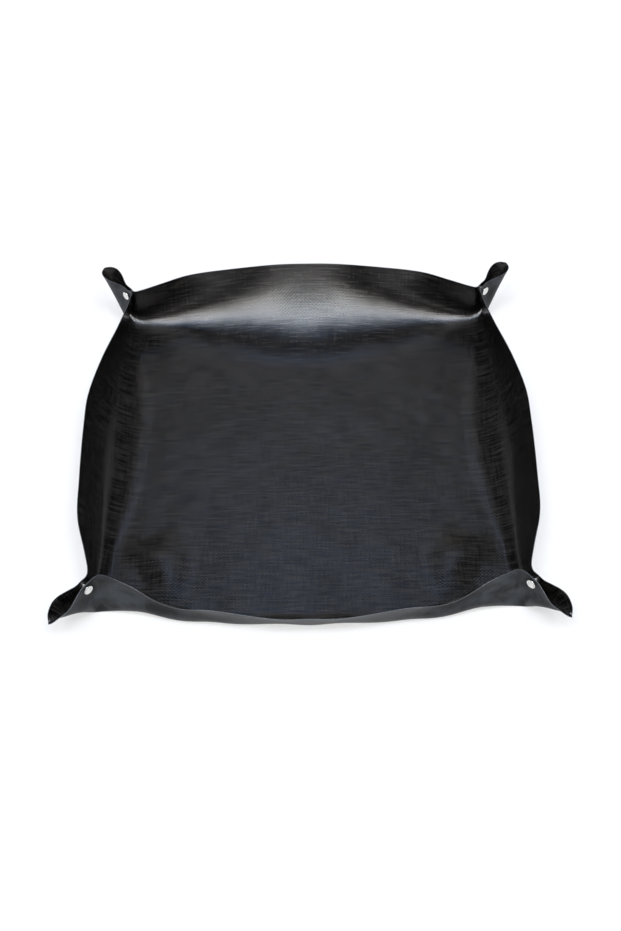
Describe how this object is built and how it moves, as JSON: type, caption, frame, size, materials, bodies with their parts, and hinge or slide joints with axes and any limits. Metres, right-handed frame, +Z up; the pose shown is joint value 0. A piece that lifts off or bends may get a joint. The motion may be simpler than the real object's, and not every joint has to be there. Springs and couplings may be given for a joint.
{
  "type": "potting soil tray",
  "caption": "Square potting tray: a flat coated sheet whose corners are pinched up by press snaps into standing ears, giving it shallow soft walls.",
  "frame": {"origin": "on the ground, under the middle of the tray", "axes": "+Z up, -Y toward the front edge that is nearest in the picture, +X to that view's right"},
  "size_m": [0.4698, 0.4656, 0.0626],
  "materials": {
    "coated_sheet": "near-black coated woven sheet, semi-gloss, its fine weave showing through the film",
    "plated_metal": "bright nickel plate"
  },
  "bodies": {
    "root": {"tray_sheet": "coated_sheet", "stud_fl": "plated_metal", "stud_cap_fl": "plated_metal", "stud_fr": "plated_metal", "stud_cap_fr": "plated_metal", "stud_bl": "plated_metal", "stud_cap_bl": "plated_metal", "stud_br": "plated_metal", "stud_cap_br": "plated_metal"},
    "flap_fl": {"snap_lobe_fl": "coated_sheet", "socket_fl": "plated_metal", "socket_cap_fl": "plated_metal"},
    "flap_fr": {"snap_lobe_fr": "coated_sheet", "socket_fr": "plated_metal", "socket_cap_fr": "plated_metal"},
    "flap_bl": {"snap_lobe_bl": "coated_sheet", "socket_bl": "plated_metal", "socket_cap_bl": "plated_metal"},
    "flap_br": {"snap_lobe_br": "coated_sheet", "socket_br": "plated_metal", "socket_cap_br": "plated_metal"}
  },
  "joints": [
    {"name": "snap_open_fl", "type": "slide", "parent": "root", "child": "flap_fl", "axis": [-0.7071, 0.7071, 0], "range_m": [0, 0.012]},
    {"name": "snap_open_fr", "type": "slide", "parent": "root", "child": "flap_fr", "axis": [0.7071, 0.7071, 0], "range_m": [0, 0.012]},
    {"name": "snap_open_bl", "type": "slide", "parent": "root", "child": "flap_bl", "axis": [-0.7071, -0.7071, 0], "range_m": [0, 0.012]},
    {"name": "snap_open_br", "type": "slide", "parent": "root", "child": "flap_br", "axis": [0.7071, -0.7071, 0], "range_m": [0, 0.012]}
  ]
}
